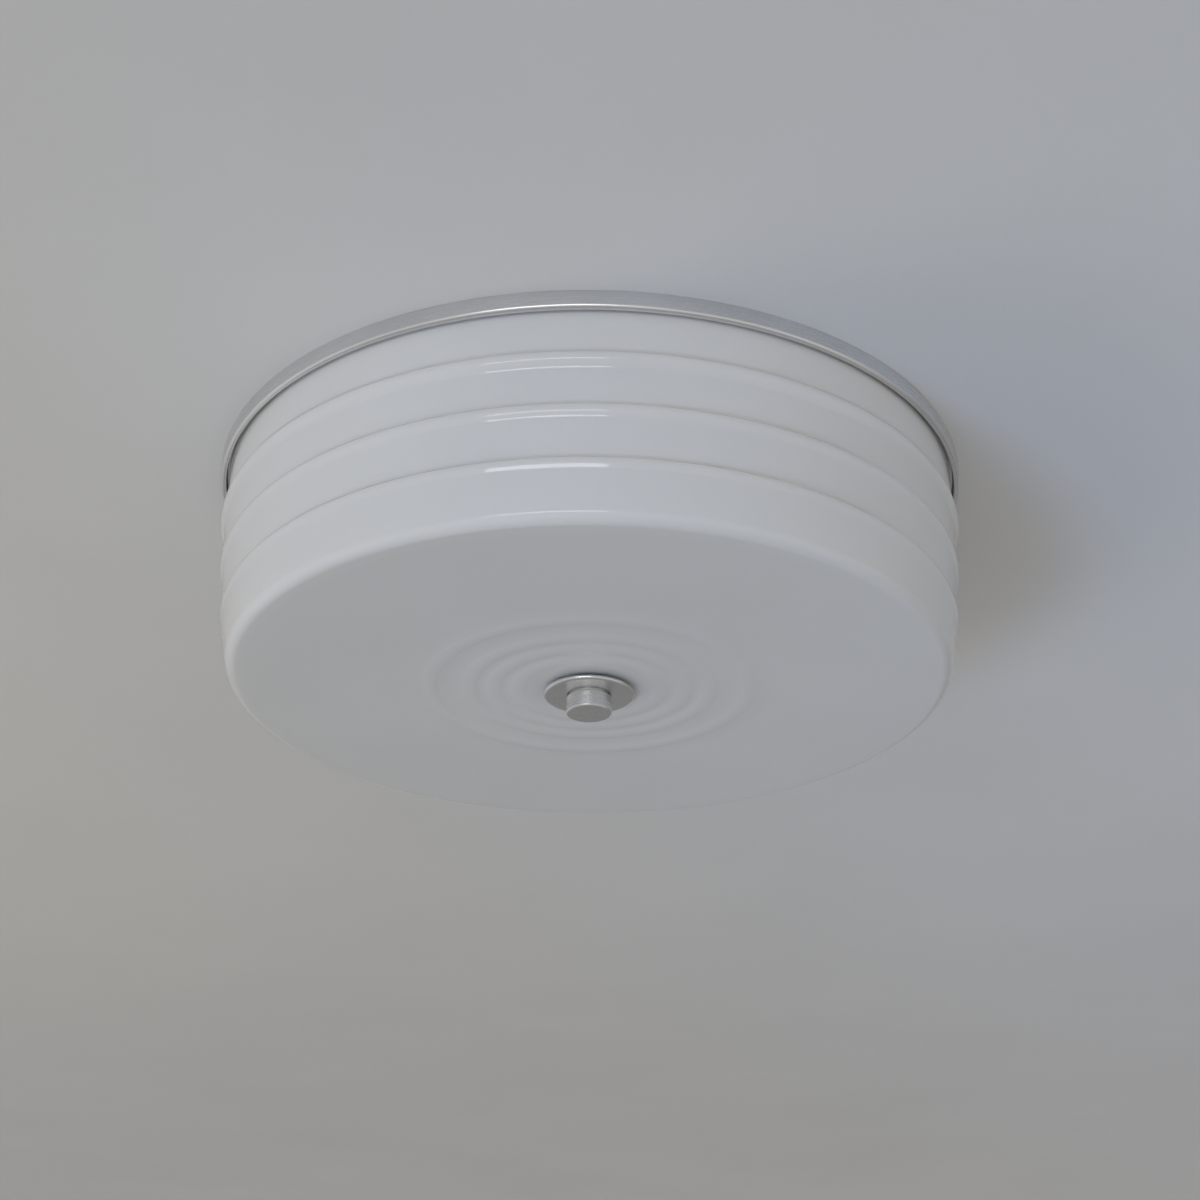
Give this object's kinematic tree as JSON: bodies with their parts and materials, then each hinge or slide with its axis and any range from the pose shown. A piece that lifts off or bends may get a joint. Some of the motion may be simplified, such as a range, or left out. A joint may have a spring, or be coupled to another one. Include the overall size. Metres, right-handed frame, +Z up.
{
  "type": "flush mount ceiling light",
  "caption": "Flush mount ceiling light: opal glass drum with stepped ribs and a rippled base, satin nickel pan, central threaded rod with washer and knob, and lampholders inside.",
  "frame": {"origin": "on the ceiling plane, on the axis of the threaded rod", "axes": "+Z up into the ceiling, +X along the crossbar and the bulbs, -Y towards the side the picture was taken from"},
  "size_m": [0.33, 0.33, 0.1056],
  "materials": {
    "satin_nickel": "satin nickel plate",
    "opal_glass": "glossy opal white, pressed",
    "zinc_steel": "zinc plated",
    "green_steel": "green dyed zinc",
    "brass": "plain brass",
    "porcelain": "glazed white porcelain",
    "frosted_glass": "frosted white",
    "cap_metal": "plain",
    "black_glass": "black vitrite",
    "solder": "solder",
    "rubber": "matte black",
    "white_plastic": "moulded",
    "black_plastic": "moulded",
    "black_insulation": "extruded",
    "white_insulation": "extruded",
    "orange_plastic": "moulded",
    "copper": "bare copper",
    "glass_fibre": "fibre mat"
  },
  "bodies": {
    "fixture": {"ceiling_pan": "satin_nickel", "insulation_pad": "glass_fibre", "crossbar": "zinc_steel", "canopy_screws": "zinc_steel", "ground_screws": "green_steel", "ground_wire": "copper", "threaded_rod": "zinc_steel", "rod_washers": "zinc_steel", "rod_nuts": "zinc_steel", "bracket_rivets": "zinc_steel", "socket_screws": "zinc_steel", "terminal_screws": "brass", "lead_bushings": "black_plastic", "wire_connectors": "orange_plastic", "socket_body_1": "porcelain", "screw_shell_1": "brass", "centre_contact_1": "brass", "socket_bracket_1": "zinc_steel", "black_lead_1": "black_insulation", "white_lead_1": "white_insulation", "socket_body_2": "porcelain", "screw_shell_2": "brass", "centre_contact_2": "brass", "socket_bracket_2": "zinc_steel", "black_lead_2": "black_insulation", "white_lead_2": "white_insulation"},
    "shade_body": {"shade": "opal_glass", "shade_grommet": "white_plastic", "shade_gasket": "rubber"},
    "washer_body": {"finial_washer": "satin_nickel"},
    "knob_body": {"finial_knob": "satin_nickel"},
    "bulb_1": {"bulb_globe_1": "frosted_glass", "bulb_cap_1": "cap_metal", "bulb_insulator_1": "black_glass", "bulb_tip_1": "solder"},
    "bulb_2": {"bulb_globe_2": "frosted_glass", "bulb_cap_2": "cap_metal", "bulb_insulator_2": "black_glass", "bulb_tip_2": "solder"}
  },
  "joints": [
    {"name": "shade_lower", "type": "slide", "parent": "fixture", "child": "shade_body", "axis": [0, 0, -1], "range_m": [0, 0.15]},
    {"name": "finial_down", "type": "slide", "parent": "shade_body", "child": "washer_body", "axis": [0, 0, -1], "range_m": [0, 0.00658]},
    {"name": "finial_turn", "type": "hinge", "parent": "washer_body", "child": "knob_body", "pos_m": [0, 0, -0.1], "axis": [0, 0, -1], "range_deg": [0, 2520]},
    {"name": "bulb_1_out", "type": "slide", "parent": "fixture", "child": "bulb_1", "axis": [1, 0, 0], "range_m": [0, 0.03]},
    {"name": "bulb_2_out", "type": "slide", "parent": "fixture", "child": "bulb_2", "axis": [-1, 0, 0], "range_m": [0, 0.03]}
  ],
  "couplings": [
    {"joint": "finial_turn", "follows": "finial_down", "rad_per_m": 6679}
  ]
}
